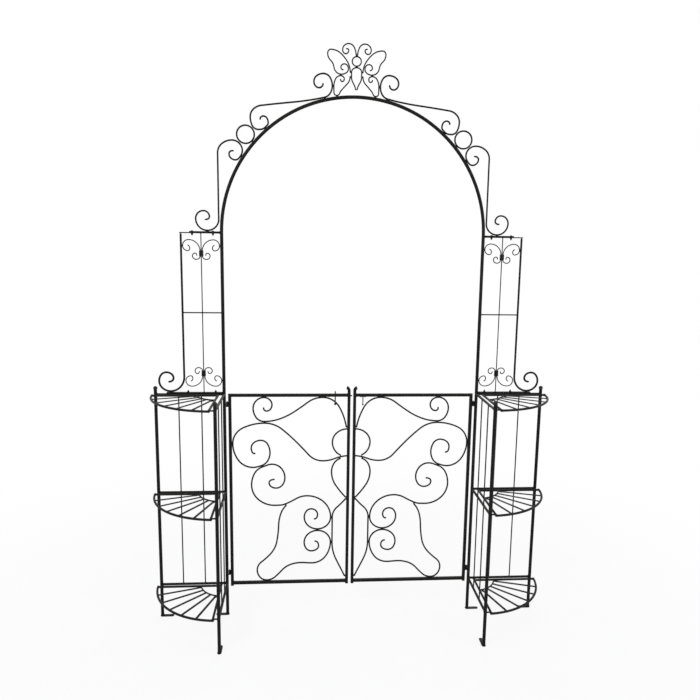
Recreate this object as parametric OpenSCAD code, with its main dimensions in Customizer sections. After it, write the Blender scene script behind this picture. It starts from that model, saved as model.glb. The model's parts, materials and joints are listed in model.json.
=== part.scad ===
// Garden arch with a pair of butterfly gates, two wing panels and two corner plant stands.
// X runs across the path, Y runs along it with the plant stands on the -Y side, Z is up.
// The arch, the wings and the gate lie in one plane; everything stands on Z = 0.

/* [Arch] */
// Distance across the path between the axes of the two posts
path_w = 1022; // [960:2:1100]
// Height of the spring line, where the posts end and the round top begins
spring_z = 1582; // [1500:2:1700]
// Outside diameter of the posts, the legs and the round top
tube_d = 13; // [12:0.5:14]
// Wall of the round steel tube
tube_wall = 1.2; // [1:0.1:1.5]
// Diameter of the wire that the bracket scrolls are bent from
bracket_d = 6.5; // [5.5:0.5:7]
// Diameter of the wire that the butterfly on top is bent from
crest_d = 5; // [4:0.5:5.5]
// Radius of the plain rings between the bracket scrolls, to the middle of the wire
ring_r = 33; // [31:0.5:34]
// Length of a joining spigot inside the lower of the two tubes that it joins
spigot_len = 60; // [40:5:80]

/* [Wing panels] */
// Distance from the post's axis to the axis of the wing's outer rod
wing_w = 155; // [150:1:170]
// Height of the wing's middle bar
wing_mid_z = 1273; // [1200:5:1340]
// Diameter of the wing's outer rod
wing_rod_d = 8; // [7:0.5:9]
// Diameter of the wing's thin centre rod and of its scroll wire
wing_wire_d = 4; // [3.5:0.25:4.5]
// Diameter of the wing's middle bar
wing_mid_d = 5; // [4:0.5:7]
// Width of the flat bars at the wing's ends and under the brackets
flat_w = 12; // [11:0.5:16]
// Thickness of the flat bars
flat_t = 4; // [3:0.25:5]
// Distance from an end bar to the collar that ties the wing scrolls
collar_reach = 76; // [72:1:90]
// Shank diameter of the bolts that join the modules
bolt_d = 5; // [4:0.5:6]

/* [Plant stands] */
// Distance from the post's axis to the outer leg and to the front leg
stand_reach = 269; // [255:1:300]
// Height of the axis of the bottom rails, which carry the lowest shelf
low_z = 141; // [110:1:180]
// Height of the axis of the middle rails
mid_z = 540; // [480:2:600]
// Height of the axis of the top rails
top_z = 947; // [900:1:980]
// Outside diameter of the rails
rail_d = 10; // [8:0.5:11]
// Wall of the rail tube
rail_wall = 1; // [0.8:0.1:1.5]
// Height of the leg tubes above the top rails
leg_rise = 20; // [15:1:40]
// Diameter of the ball caps on the leg tops
cap_d = 17; // [15:0.5:20]
// Diameter of the round bar of a shelf's frame, its rim and its two edge bars
rim_d = 9; // [8:0.5:10]
// Distance from the post's axis to the axis of a shelf's edge bars
shelf_inset = 22; // [20:0.5:24]
// Width of the flat slats of a shelf
slat_w = 9; // [7:0.5:10]
// Thickness of the slats
slat_t = 3; // [2:0.5:4]
// Number of slats between the two edge bars of a shelf
slats = 5; // [3:1:5]
// Radius of the inner arc that the slats spread from
fan_r = 106; // [100:1:120]
// Diameter of the round bar of the inner arc
fan_d = 6; // [5:0.5:8]
// Diameter of the lugs that hold a shelf to its two legs
lug_d = 6; // [5:0.5:8]
// Diameter of the upright spindles between the rails
spindle_d = 5; // [4:0.5:7]
// Length of the flat foot under each leg, from the leg's axis to its tip
foot_len = 48; // [35:1:60]
// Thickness of the flat feet
foot_t = 3; // [2:0.5:5]

/* [Gate] */
// Side of the square tube of the gate leaves
gate_t = 12; // [11:0.5:13]
// Wall of the square tube
gate_wall = 1.2; // [1:0.1:1.5]
// Height of the axis of the leaves' bottom rail
gate_low_z = 141; // [120:1:170]
// Height of the axis of the leaves' top rail
gate_top_z = 943; // [905:1:985]
// Gap between the two closed leaves
meet_gap = 11; // [10:0.5:16]
// Diameter of the wire that the butterfly in the gate is bent from
wire_d = 6.5; // [5.5:0.25:7]
// Rise of the meeting stiles above the top rail, up to the start of their turned tips
stile_rise = 12; // [8:1:30]
// Outside diameter of the hinge eyes on the leaves
eye_d = 8.5; // [8.5:0.5:11]
// Diameter of the hinge pins on the posts
pin_d = 4.5; // [4:0.25:5.5]
// Height of a hinge eye
eye_h = 16; // [12:1:25]
// Distance from the top rail down to the upper hinge eye
hinge_drop = 21; // [14:1:80]
// Distance from the bottom rail up to the lower hinge eye
hinge_lift = 35; // [24:1:80]

/* [Latch] */
// Diameter of the sliding latch bolt
latch_d = 6; // [5:0.5:7]
// Travel of the latch bolt from open to shut
latch_travel = 48; // [40:1:56]
// Wall of the latch guides
latch_wall = 1.9; // [1.5:0.1:2.5]
// Distance of the latch bolt's axis below the axis of the top rail
latch_drop = 5; // [3:0.5:5]
// Length of the latch handle, from end to end
handle_len = 54; // [40:1:70]

/* [Hidden] */
round_fn = 48;      // steps in a full turn of a bar or a tube
arc_fn = 192;       // steps in a full turn of the hoop and the rims, which are large
$fn = round_fn;
seam = 0.2;         // gap that stands for a weld or a seat between two pieces of one body
run_gap = 0.4;      // clearance between pieces that move past each other
pin_fit = 0.05;     // radial running fit of a pin or bolt in its eye
core = 0.98;        // ball inside each joint of a wire, as a share of the wire diameter
trim = 0.05;        // length that each arc of a wire is short of the middle of that ball

post_x = path_w/2;
hoop_r = path_w/2;
tube_r = tube_d/2;
keeper_d = latch_d + 2*run_gap + 2*latch_wall;      // outside of the latch guides and keeper
latch_y = gate_t/2 + seam + keeper_d/2;             // latch bolt's axis behind the leaves
rim_r = stand_reach + tube_r + seam + rim_d/2;      // rim of the shelves, outside the legs
rim_cut = asin((shelf_inset - rim_d/2)/rim_r);      // the rim ends flush with the edge bars
front_reach = (rim_r + rim_d/2)*cos(rim_cut);
rear_reach = latch_y + keeper_d/2;                  // back of the latch guides
arch_y = (front_reach - rear_reach)/2;              // puts the middle of the depth on Y = 0

steel = [0.10, 0.10, 0.11];
steel_light = [0.16, 0.16, 0.18];
hardware = [0.14, 0.14, 0.15];
raw_steel = [0.45, 0.45, 0.47];
plastic = [0.05, 0.05, 0.06];

// ---------------------------------------------------------------- wire bending
// A wire is a list of knots [x, z, heading]. Between two knots it runs in two arcs that
// meet smoothly, so it passes each knot in the heading given, as wire does on a bending jig.

function unit(h) = [cos(h), sin(h)];
function cross2(a, b) = a[0]*b[1] - a[1]*b[0];
function place(k) = [k[0], k[1]];

// Length of the two equal tangents that make a pair of arcs between two knots
function reach(v, t0, t1) =
    let (a = 2*(1 - t0*t1), b = v*(t0 + t1), c = v*v)
    a < 0.0001 ? c/(2*b) : (sqrt(b*b + a*c) - b)/a;

// One arc: start, heading, turn in degrees, radius (0 where it is straight) and chord
function bend(p, h, q) =
    let (chord = q - p, a = 2*atan2(cross2(unit(h), chord), unit(h)*chord))
    [p, h, a, abs(a) < 0.5 ? 0 : norm(chord)/(2*sin(abs(a)/2)), norm(chord)];

function two_arcs(k0, k1) =
    let (p0 = place(k0), p1 = place(k1), t0 = unit(k0[2]), t1 = unit(k1[2]),
         d = reach(p1 - p0, t0, t1),
         middle = (p0 + d*t0 + p1 - d*t1)/2,
         first = bend(p0, k0[2], middle))
    [first, bend(middle, k0[2] + first[2], p1)];

function bends(knots) = [for (i = [0:len(knots) - 2], a = two_arcs(knots[i], knots[i + 1])) a];

module bent_arc(a, d) {
    side = a[2] > 0 ? 1 : -1;
    translate([a[0][0], a[0][1], 0])
        rotate([0, 0, a[1]])
            if (a[3] == 0) {
                translate([trim, 0, 0])
                    rotate([0, 90, 0])
                        cylinder(d = d, h = a[4] - 2*trim);
            } else {
                short = trim/a[3]*180/PI;
                translate([0, side*a[3], 0])
                    rotate([0, 0, side*(short - 90)])
                        rotate_extrude(angle = side*(abs(a[2]) - 2*short))
                            translate([a[3], 0])
                                circle(d = d);
            }
}

// Ball that joins two arcs from inside, with its poles on the wire's line
module joint_ball(at, heading, d) {
    translate([at[0], at[1], 0])
        rotate([0, 90, heading]) sphere(d = d*core);
}

// The whole wire, upright in the XZ plane
module wire(knots, d) {
    path = bends(knots);
    last = knots[len(knots) - 1];
    rotate([90, 0, 0]) {
        for (a = path) bent_arc(a, d);
        for (a = path) joint_ball(a[0], a[1], d);
        joint_ball(last, last[2], d);
    }
}

// Distance from a surface to the middle of a wire that is welded to it
function beside(d) = seam + d/2;

// ---------------------------------------------------------------- shared helpers
module in_plane() { translate([0, arch_y, 0]) children(); }
module left() { mirror([1, 0, 0]) children(); }
module both() {
    children();
    mirror([1, 0, 0]) children();
}

module round_tube(d, wall, h) {
    difference() {
        cylinder(d = d, h = h);
        translate([0, 0, -1]) cylinder(d = d - 2*wall, h = h + 2);
    }
}

// ---------------------------------------------------------------- arch top
hoop_z = spring_z + seam;                  // the hoop stands on the posts
crown_z = hoop_z + hoop_r + tube_r;        // top of the hoop

// A point where a wire of diameter d is welded on the outside of the hoop
function on_hoop(angle, d) = [0, hoop_z] + (hoop_r + tube_r + beside(d))*unit(angle);

// A knot at a distance from a point
function off(p, dx, dz, h) = [p[0] + dx, p[1] + dz, h];

module arch_hoop() {
    color(steel) in_plane()
        translate([0, 0, hoop_z])
            rotate([90, 0, 0])
                rotate_extrude(angle = 180, $fn = arc_fn)
                    translate([hoop_r, 0])
                        difference() {
                            circle(d = tube_d, $fn = round_fn);
                            circle(d = tube_d - 2*tube_wall, $fn = round_fn);
                        }
}

head_r = 17;                               // ring of the small butterfly's head
head_z = crown_z + 121;
body_w = 19;                               // half width of its body
body_z = crown_z + 74;                     // height of the body's widest point
crest_pair = crest_d + seam;               // between the middles of two welded crest wires
root_gap = 8;                              // wing roots above and below the widest point

module crest_head() {
    color(steel) in_plane()
        translate([0, 0, head_z])
            rotate([90, 0, 0])
                rotate_extrude() translate([head_r, 0]) circle(d = crest_d);
}

// Its two ends come together side by side at the tip
function crest_body_path() =
    let (tip = crown_z + 20, top = head_z - head_r - crest_pair)
    [[-crest_pair/2, tip, 102],
     [-body_w, body_z - root_gap, 90],
     [-body_w, body_z + root_gap, 90],
     [0, top, 0],
     [body_w, body_z + root_gap, -90],
     [body_w, body_z - root_gap, -90],
     [crest_pair/2, tip, -102]];

module crest_body() { color(steel) in_plane() wire(crest_body_path(), crest_d); }

high_weld = 76.7;                          // angles of the upper bracket's welds on the hoop
low_weld = 48.7;
volute_in = -29;                           // its volute's inner side, from the upper weld

function antenna() =
    let (root = [crest_pair/2, head_z + head_r + crest_pair])
    [off(root, 0, 0, 86),
     off(root, 28, 40, 0),
     off(root, 51, 18, -90),
     off(root, 39, 4, 180),
     off(root, 28, 16, 90),
     off(root, 36, 22, 0)];

function crest_upper() =
    let (root = [body_w + crest_pair, body_z])
    [off(root, 0, root_gap, 90),
     off(root, 36, 74, 40),
     off(root, 73, 87, 0),
     off(root, 85, 73, -90),
     off(root, 61, 24, -98),
     off(root, 34, 0, 180),
     off(root, 7, 20, 90),
     off(root, 22, 37, 0),
     off(root, 35, 25, -90),
     off(root, 27, 16, 180)];

function crest_lower() =
    let (root = [body_w + crest_pair, body_z], foot = on_hoop(82, crest_d),
         volute = on_hoop(high_weld, bracket_d),
         side = (bracket_d + crest_d)/2 + seam)
    [off(root, 0, -root_gap, -90),
     off(foot, -16, 19, -48),
     off(foot, 0, 0, -8),
     off(volute, volute_in - side, 42, 90),
     off(root, 35, -crest_pair, 180),
     off(root, 22, -17, -90),
     off(root, 29, -26, 0),
     off(root, 36, -19, 90)];

module crest_antennae() { color(steel) in_plane() both() wire(antenna(), crest_d); }
module crest_upper_wings() { color(steel) in_plane() both() wire(crest_upper(), crest_d); }
module crest_lower_wings() { color(steel) in_plane() both() wire(crest_lower(), crest_d); }

// Bracket from beside the crest, along the hoop's shoulder, to a curl that sits on the hoop
function upper_bracket() =
    let (high = on_hoop(high_weld, bracket_d), low = on_hoop(low_weld, bracket_d))
    [off(high, 6, 48, -90),
     off(high, 21, 34, 0),
     off(high, 40, 56, 90),
     off(high, 4, 85, 180),
     off(high, volute_in, 42, -90),
     off(high, 0, 0, high_weld - 90),
     off(low, 13, 80, -8),
     off(low, 54, 38, -90),
     off(low, 24, -7, 180),
     off(low, 0, 0, low_weld + 90),
     off(low, -13, 19, 90),
     off(low, 5, 42, 0),
     off(low, 17, 31, -90)];

module upper_bracket_wire() { color(steel) in_plane() wire(upper_bracket(), bracket_d); }

// Bracket from a curl on the hoop's flank, straight down, to the volute on the foot bar
foot_bar_top = spring_z + seam + flat_t;
flank_weld = 33.5;                         // angle of its top curl's weld on the hoop

function lower_bracket() =
    let (flank = on_hoop(0, bracket_d)[0],
         low = [flank + 44, foot_bar_top + beside(bracket_d)],
         high = on_hoop(flank_weld, bracket_d))
    [off(low, 6, 41, 180),
     off(low, -9, 52, 90),
     off(low, 13, 74, 0),
     off(low, 43, 44, -90),
     off(low, 0, 0, 180),
     [flank, hoop_z + 50, 90],
     [flank, hoop_z + 296, 90],
     off(high, 32, 56, 180),
     off(high, 0, 0, flank_weld - 90),
     off(high, 21, -16, 0),
     off(high, 44, 6, 90),
     off(high, 29, 17, 190)];

module lower_bracket_wire() { color(steel) in_plane() wire(lower_bracket(), bracket_d); }

module bracket_rings() {
    centre = [0, hoop_z] + (hoop_r + tube_r + beside(bracket_d) + ring_r)*unit(41.3);
    color(steel) in_plane() both()
        translate([centre[0], 0, centre[1]])
            rotate([90, 0, 0])
                rotate_extrude() translate([ring_r, 0]) circle(d = bracket_d);
}

// ---------------------------------------------------------------- joining bolts
near_bolt = 33;           // from the post's axis to the bolts next to it
far_bolt_top = 112;       // to the outer bolts under the brackets
far_bolt_low = 141;       // to the outer bolts on the stands
bolt_hole = bolt_d + 0.4;
head_h = 2.4;             // low head, clear of the bracket wire above it
nut_hex = bolt_d*1.85;    // across the corners
nut_h = 4;
nut_tip = 5;
stand_top = top_z + rail_d/2;
wing_floor = stand_top + seam + flat_t;    // top of the wing's bottom bar

module bolt_holes(far, z, h) {
    for (x = [near_bolt, far])
        translate([post_x + x, 0, z]) cylinder(d = bolt_hole, h = h);
}

// Bolt standing on its head, with the grip between head and nut
module bolt(grip) {
    cylinder(d = bolt_d, h = head_h + grip + nut_h);
    cylinder(d = bolt_d*1.9, h = head_h);
}

// Pointed cap nut, standing on its seat
module cap_nut() {
    difference() {
        union() {
            cylinder(d = nut_hex, h = nut_h, $fn = 6);
            translate([0, 0, nut_h - 0.5])
                cylinder(d1 = bolt_d*1.5, d2 = bolt_d*0.4, h = nut_tip + 0.5);
        }
        translate([0, 0, -1]) cylinder(d = bolt_d + 2*pin_fit, h = nut_h + 1.5);
    }
}

module joining_bolts() {
    top_grip = 2*flat_t + 3*seam;
    low_grip = rail_d + flat_t + 3*seam;
    color(hardware) in_plane() both() {
        for (x = [near_bolt, far_bolt_top])
            translate([post_x + x, 0, foot_bar_top + seam + head_h])
                rotate([180, 0, 0]) bolt(top_grip);
        for (x = [near_bolt, far_bolt_low])
            translate([post_x + x, 0, top_z - rail_d/2 - seam - head_h])
                bolt(low_grip);
    }
}

module joining_nuts() {
    color(hardware) in_plane() both() {
        for (x = [near_bolt, far_bolt_top])
            translate([post_x + x, 0, spring_z - flat_t - seam])
                rotate([180, 0, 0]) cap_nut();
        for (x = [near_bolt, far_bolt_low])
            translate([post_x + x, 0, wing_floor + seam])
                cap_nut();
    }
}

module bracket_foot_bars() {
    start = tube_r + seam;
    color(steel) in_plane() both()
        difference() {
            translate([post_x + start, -flat_w/2, spring_z + seam])
                cube([far_bolt_top + 10 - start, flat_w, flat_t]);
            bolt_holes(far_bolt_top, spring_z - 1, flat_t + 2);
        }
}

// Solid plug between the tube ends, at the stand top and under the hoop
module post_spigots() {
    plug_d = tube_d - 2*tube_wall - 1;
    color(raw_steel) in_plane() both() {
        translate([post_x, 0, spring_z - spigot_len])
            cylinder(d = plug_d, h = spigot_len + 18);
        translate([post_x, 0, stand_top - spigot_len])
            cylinder(d = plug_d, h = 2*spigot_len);
    }
}

// ---------------------------------------------------------------- wing panels
wing_x = post_x + wing_w;
wing_left = post_x + tube_r;               // the two sides of the opening in a wing panel
wing_right = wing_x - wing_rod_d/2;
wing_mid = (wing_left + wing_right)/2;

module upper_post() {
    low = stand_top + seam;
    color(steel) in_plane()
        translate([post_x, 0, low]) round_tube(tube_d, tube_wall, spring_z - low);
}

// Outer rod of the wing, with the volute that stands on the wing's bottom bar
function wing_rod() =
    let (low = [wing_x + 54, wing_floor + beside(wing_rod_d)])
    [[wing_x, spring_z - flat_t - beside(wing_rod_d), -90],
     [wing_x, wing_floor + 62, -90],
     off(low, 0, 0, 0),
     off(low, 44, 41, 90),
     off(low, 15, 76, 180),
     off(low, -12, 53, -90),
     off(low, 5, 38, 0)];

module wing_rod_wire() { color(steel) in_plane() wire(wing_rod(), wing_rod_d); }

// Flat bars at the ends of the panel, thin bar across the middle and rods up the centre
module wing_bars() {
    start = tube_r + seam;
    color(steel) in_plane() {
        difference() {
            translate([post_x + start, -flat_w/2, spring_z - flat_t])
                cube([wing_w + wing_rod_d/2 - start, flat_w, flat_t]);
            bolt_holes(far_bolt_top, spring_z - flat_t - 1, flat_t + 2);
        }
        difference() {
            translate([post_x + start, -flat_w/2, wing_floor - flat_t])
                cube([wing_w + 70 - start, flat_w, flat_t]);
            bolt_holes(far_bolt_low, wing_floor - flat_t - 1, flat_t + 2);
        }
        translate([post_x + start, 0, wing_mid_z])
            rotate([0, 90, 0])
                cylinder(d = wing_mid_d, h = wing_right - seam - post_x - start);
        for (z = [wing_floor, wing_mid_z + wing_mid_d/2])
            translate([wing_mid, 0, z + seam])
                cylinder(d = wing_wire_d,
                         h = (z == wing_floor ? wing_mid_z - wing_mid_d/2 : spring_z - flat_t) - z - 2*seam);
    }
}

// One C-scroll beside the centre rod; the middle of its collar is the origin
function wing_scroll() =
    let (side = (wing_right - wing_left)/2 - beside(wing_wire_d), x = wing_wire_d + seam)
    [[17, -7, 80],
     [23, 1, 0],
     [33.5, -10, -90],
     [19.5, -23, 180],
     [x, -9, 90],
     [x, 9, 90],
     [47, 52, 0],
     [side, 29, -90],
     [51, 10, 180],
     [43, 20, 90],
     [50, 31, 20]];

collar_low = wing_floor + collar_reach;
collar_high = spring_z - flat_t - collar_reach;

module wing_scrolls() {
    color(steel) in_plane()
        for (side = [0, 1], end = [0, 1])
            translate([wing_mid, 0, end == 1 ? collar_high : collar_low])
                mirror([side, 0, 0]) mirror([0, 0, 1 - end])
                    wire(wing_scroll(), wing_wire_d);
}

// Bands that clamp two scrolls to the centre rod
module wing_collars() {
    in_x = 3*wing_wire_d + 4*seam;
    in_y = wing_wire_d + 2*seam;
    band = 1.5;
    color(steel) in_plane() both()
        for (z = [collar_low, collar_high])
            translate([wing_mid, 0, z])
                difference() {
                    cube([in_x + 2*band, in_y + 2*band, 22], center = true);
                    cube([in_x, in_y, 24], center = true);
                }
}

// ---------------------------------------------------------------- plant stands
// A stand is drawn with the post's axis as its origin, the outer leg on +X, the front leg on -Y
module at_stand() { in_plane() translate([post_x, 0, 0]) children(); }

leg_top = top_z + leg_rise;
floor_gap = foot_t + seam;

module lower_post() {
    color(steel) at_stand()
        translate([0, 0, floor_gap]) round_tube(tube_d, tube_wall, stand_top - floor_gap);
}

module leg() {
    color(steel) translate([0, 0, floor_gap]) round_tube(tube_d, tube_wall, leg_top - floor_gap);
}
module outer_leg() { at_stand() translate([stand_reach, 0, 0]) leg(); }
module front_leg() { at_stand() translate([0, -stand_reach, 0]) leg(); }

// Square-cut rail from the post to a leg, along +X
module rail() {
    start = tube_r + seam;
    translate([start, 0, 0])
        rotate([0, 90, 0]) round_tube(rail_d, rail_wall, stand_reach - 2*start);
}

module rear_rails() {
    color(steel) at_stand()
        difference() {
            for (z = [low_z, mid_z, top_z]) translate([0, 0, z]) rail();
            for (x = [near_bolt, far_bolt_low])
                translate([x, 0, top_z - rail_d]) cylinder(d = bolt_hole, h = 2*rail_d);
        }
}

module side_rails() {
    color(steel) at_stand()
        for (z = [low_z, mid_z, top_z])
            translate([0, 0, z]) rotate([0, 0, -90]) rail();
}

// Thin uprights between the rails, two in the back and two in the side of a stand
module spindles() {
    color(steel) at_stand()
        for (turn = [0, -90], i = [1, 2], bay = [[low_z, mid_z], [mid_z, top_z]])
            rotate([0, 0, turn])
                translate([i*stand_reach/3, 0, bay[0] + rail_d/2 + seam])
                    cylinder(d = spindle_d, h = bay[1] - bay[0] - rail_d - 2*seam);
}

// Round bar lying along +X
module shelf_bar(d, length) { rotate([0, 90, 0]) cylinder(d = d, h = length); }

// Quarter-round shelf: the rim runs outside both legs, the edge bars a little inside the rails.
// The side bar is welded to the rear rail, and a lug holds each edge bar to its leg.
module shelf(z) {
    bar_r = rim_d/2;
    rim_in = rim_r - bar_r - seam;                 // just inside the rim
    edge_in = shelf_inset + bar_r + seam;          // just inside an edge bar
    edge_out = shelf_inset - bar_r - seam;         // just outside an edge bar
    bar_end = sqrt(rim_in*rim_in - pow(shelf_inset + bar_r, 2));
    bar_start = rail_d/2 + seam;
    margin = asin(shelf_inset/rim_in);             // angle of an edge bar's end
    inner = asin(edge_in/(fan_r - fan_d/2));
    slat_start = fan_r + fan_d/2 + seam;
    slat_end = sqrt(rim_in*rim_in - slat_w*slat_w/4);
    lug_start = tube_r + seam;
    color(steel) at_stand() translate([0, 0, z]) {
        rotate([0, 0, -rim_cut])
            rotate_extrude(angle = 2*rim_cut - 90, $fn = arc_fn)
                translate([rim_r, 0]) circle(d = rim_d, $fn = round_fn);
        rotate([0, 0, -inner])
            rotate_extrude(angle = 2*inner - 90) translate([fan_r, 0]) circle(d = fan_d);
        translate([shelf_inset, -bar_start, 0])
            rotate([0, 0, -90]) shelf_bar(rim_d, bar_end - bar_start);
        translate([edge_in, -shelf_inset, 0]) shelf_bar(rim_d, bar_end - edge_in);
        for (i = [1:slats])
            rotate([0, 0, -margin - i*(90 - 2*margin)/(slats + 1)])
                translate([slat_start, -slat_w/2, -slat_t/2])
                    cube([slat_end - slat_start, slat_w, slat_t]);
        translate([lug_start, -stand_reach, 0]) shelf_bar(lug_d, edge_out - lug_start);
        translate([stand_reach, -lug_start, 0])
            rotate([0, 0, -90]) shelf_bar(lug_d, edge_out - lug_start);
    }
}

// Ball caps, each on a plug in the top of a leg
module leg_caps() {
    plug_d = tube_d - 2*tube_wall - 2*seam;
    color(plastic) both() at_stand()
        for (at = [[stand_reach, 0], [0, -stand_reach]])
            translate([at[0], at[1], leg_top + seam]) {
                translate([0, 0, -12]) cylinder(d = plug_d, h = 14);
                difference() {
                    translate([0, 0, cap_d*0.3]) sphere(d = cap_d);
                    translate([0, 0, -cap_d]) cylinder(d = 2*cap_d, h = cap_d);
                }
            }
}

// Flat feet with round ends, one under each leg, lying within the stand
foot_w = tube_d + 3;

module foot() {
    cylinder(d = foot_w, h = foot_t);
    translate([foot_len - foot_w/2, 0, 0]) cylinder(d = foot_w, h = foot_t);
    translate([0, -foot_w/2, 0]) cube([foot_len - foot_w/2, foot_w, foot_t]);
}

module foot_tabs() {
    color(steel) both() at_stand() {
        foot();
        translate([stand_reach, 0, 0]) rotate([0, 0, 180]) foot();
        translate([0, -stand_reach, 0]) rotate([0, 0, 90]) foot();
    }
}

// ---------------------------------------------------------------- gate leaves
// A leaf is drawn on the +X side; the other one is its mirror image.
tab_lift = 0.3;                                    // eye above the hinge tab
hinge_gap = run_gap + eye_d + seam;                // from the post to the hinge stile
hinge_x = post_x - tube_r - run_gap - eye_d/2;     // hinge axis
leaf_in = meet_gap/2 + gate_t;                     // the opening inside the leaf's frame
leaf_out = post_x - tube_r - hinge_gap - gate_t;
leaf_low = gate_low_z + gate_t/2;
leaf_high = gate_top_z - gate_t/2;
stile_drop = 5;                                    // stiles run past the bottom rail
eye_low = leaf_low + hinge_lift;
eye_high = leaf_high - hinge_drop - eye_h;
tip_r = 14;
tip_turn = 70;

module square_tube(side, wall, h) {
    difference() {
        translate([-side/2, -side/2, 0]) cube([side, side, h]);
        translate([wall - side/2, wall - side/2, -1]) cube([side - 2*wall, side - 2*wall, h + 1 - wall]);
    }
}

// Hinge stile with a closed top, and meeting stile with its tip turned away from the gap
module gate_stiles() {
    low = gate_low_z - gate_t/2 - stile_drop;
    top = gate_top_z + gate_t/2;
    tip_z = top + stile_rise;
    color(steel) in_plane() {
        translate([leaf_out + gate_t/2, 0, low]) square_tube(gate_t, gate_wall, top - low);
        translate([leaf_in - gate_t/2, 0, low]) square_tube(gate_t, gate_wall, tip_z - low);
        translate([leaf_in - gate_t/2 + tip_r, 0, tip_z])
            rotate([90, 0, 0])
                rotate([0, 0, 180])
                    rotate_extrude(angle = -tip_turn)
                        translate([tip_r, 0]) square(gate_t, center = true);
    }
}

module gate_rails() {
    color(steel) in_plane()
        for (z = [gate_low_z, gate_top_z])
            difference() {
                translate([leaf_in + seam, -gate_t/2, z - gate_t/2])
                    cube([leaf_out - leaf_in - 2*seam, gate_t, gate_t]);
                translate([leaf_in - 1, gate_wall - gate_t/2, z + gate_wall - gate_t/2])
                    cube([leaf_out - leaf_in + 2, gate_t - 2*gate_wall, gate_t - 2*gate_wall]);
            }
}

// Knots in the leaf's opening: f across it from the meeting stile, g up it from the bottom rail
wire_pair = wire_d + seam;
weld = beside(wire_d);
function leaf_x(f) = leaf_in + f*(leaf_out - leaf_in);
function leaf_z(g) = leaf_low + g*(leaf_high - leaf_low);
function in_leaf(f, g, h) = [leaf_x(f), leaf_z(g), h];
function from_stile(g, h) = [leaf_in + weld, leaf_z(g), h];

// Where two wires of the butterfly are welded: the point, and the heading of the weld
function welded(f, g, h, side) =
    [leaf_x(f) + side*wire_pair/2*cos(h + 90), leaf_z(g) + side*wire_pair/2*sin(h + 90), h];

// The same point with another heading
function turned(k, h) = [k[0], k[1], h];

belly = leaf_x(0.123);                             // abdomen's widest line
hind_weld = belly + wire_pair;                     // hind wing's inner line

function fore_wing_top() =
    [from_stile(0.840, 80),
     [leaf_x(0.215), leaf_high - weld, 0],
     in_leaf(0.469, 0.918, -33),
     welded(0.72, 0.866, 0, 1),
     in_leaf(0.815, 0.939, 90),
     [leaf_x(0.722), leaf_high - weld, 180],
     in_leaf(0.653, 0.958, -90),
     in_leaf(0.700, 0.925, 0),
     in_leaf(0.724, 0.941, 100)];

function fore_wing_low() =
    [from_stile(0.685, -6),
     in_leaf(0.210, 0.659, 0),
     in_leaf(0.439, 0.759, 46),
     welded(0.72, 0.866, 0, -1),
     [leaf_out - weld, leaf_z(0.754), -90],
     in_leaf(0.819, 0.627, 180),
     welded(0.741, 0.633, 160, -1),
     in_leaf(0.672, 0.705, 90),
     in_leaf(0.752, 0.771, 0),
     in_leaf(0.834, 0.730, -90),
     in_leaf(0.804, 0.701, 180)];

// S-scroll between the fore wing and the body
function hind_wing_top() =
    [in_leaf(0.638, 0.561, 0),
     in_leaf(0.681, 0.543, -90),
     in_leaf(0.620, 0.514, 180),
     in_leaf(0.543, 0.570, 90),
     in_leaf(0.655, 0.643, 0),
     welded(0.741, 0.633, -20, -1),
     in_leaf(0.834, 0.532, -90),
     in_leaf(0.633, 0.420, 180),
     welded(0.535, 0.423, 157, -1),
     in_leaf(0.349, 0.470, 180),
     [hind_weld, leaf_z(0.351), -90],
     welded(0.254, 0.282, 0, 1),
     in_leaf(0.372, 0.353, 90),
     in_leaf(0.310, 0.398, 180),
     in_leaf(0.254, 0.366, -90),
     in_leaf(0.282, 0.342, 0)];

function hind_wing_low() =
    [turned(welded(0.535, 0.423, 157, 1), -46),
     in_leaf(0.599, 0.309, -88),
     in_leaf(0.681, 0.145, -46),
     in_leaf(0.791, 0.059, -92),
     [leaf_x(0.707), leaf_low + weld, 180],
     in_leaf(0.571, 0.058, 131),
     in_leaf(0.402, 0.099, 180),
     in_leaf(0.301, 0.096, 180),
     [hind_weld, leaf_z(0.212), 90],
     welded(0.254, 0.282, 0, -1),
     in_leaf(0.372, 0.212, -90),
     in_leaf(0.308, 0.164, 180),
     in_leaf(0.243, 0.193, 90),
     in_leaf(0.275, 0.218, 0)];

function gate_head() =
    [from_stile(0.829, -4),
     in_leaf(0.128, 0.759, -90),
     in_leaf(0.056, 0.6893, 205)];

function gate_thorax() =
    [in_leaf(0.059, 0.6708, -20),
     in_leaf(0.133, 0.600, -90),
     from_stile(0.4605, -133)];

function gate_abdomen() =
    [from_stile(0.4505, -50),
     [belly, leaf_z(0.351), -90],
     [belly, leaf_z(0.212), -90],
     from_stile(0.020, -116)];

module gate_upper_wing() {
    color(steel) in_plane() {
        wire(fore_wing_top(), wire_d);
        wire(fore_wing_low(), wire_d);
    }
}

module gate_lower_wing() {
    color(steel) in_plane() {
        wire(hind_wing_top(), wire_d);
        wire(hind_wing_low(), wire_d);
    }
}

module gate_body() {
    color(steel) in_plane() {
        wire(gate_head(), wire_d);
        wire(gate_thorax(), wire_d);
        wire(gate_abdomen(), wire_d);
    }
}

// ---------------------------------------------------------------- hinges
module hinge_eyes() {
    color(steel_light) in_plane()
        for (z = [eye_low, eye_high])
            translate([hinge_x, 0, z])
                difference() {
                    cylinder(d = eye_d, h = eye_h);
                    translate([0, 0, -1]) cylinder(d = pin_d + 2*pin_fit, h = eye_h + 2);
                }
}

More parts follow.
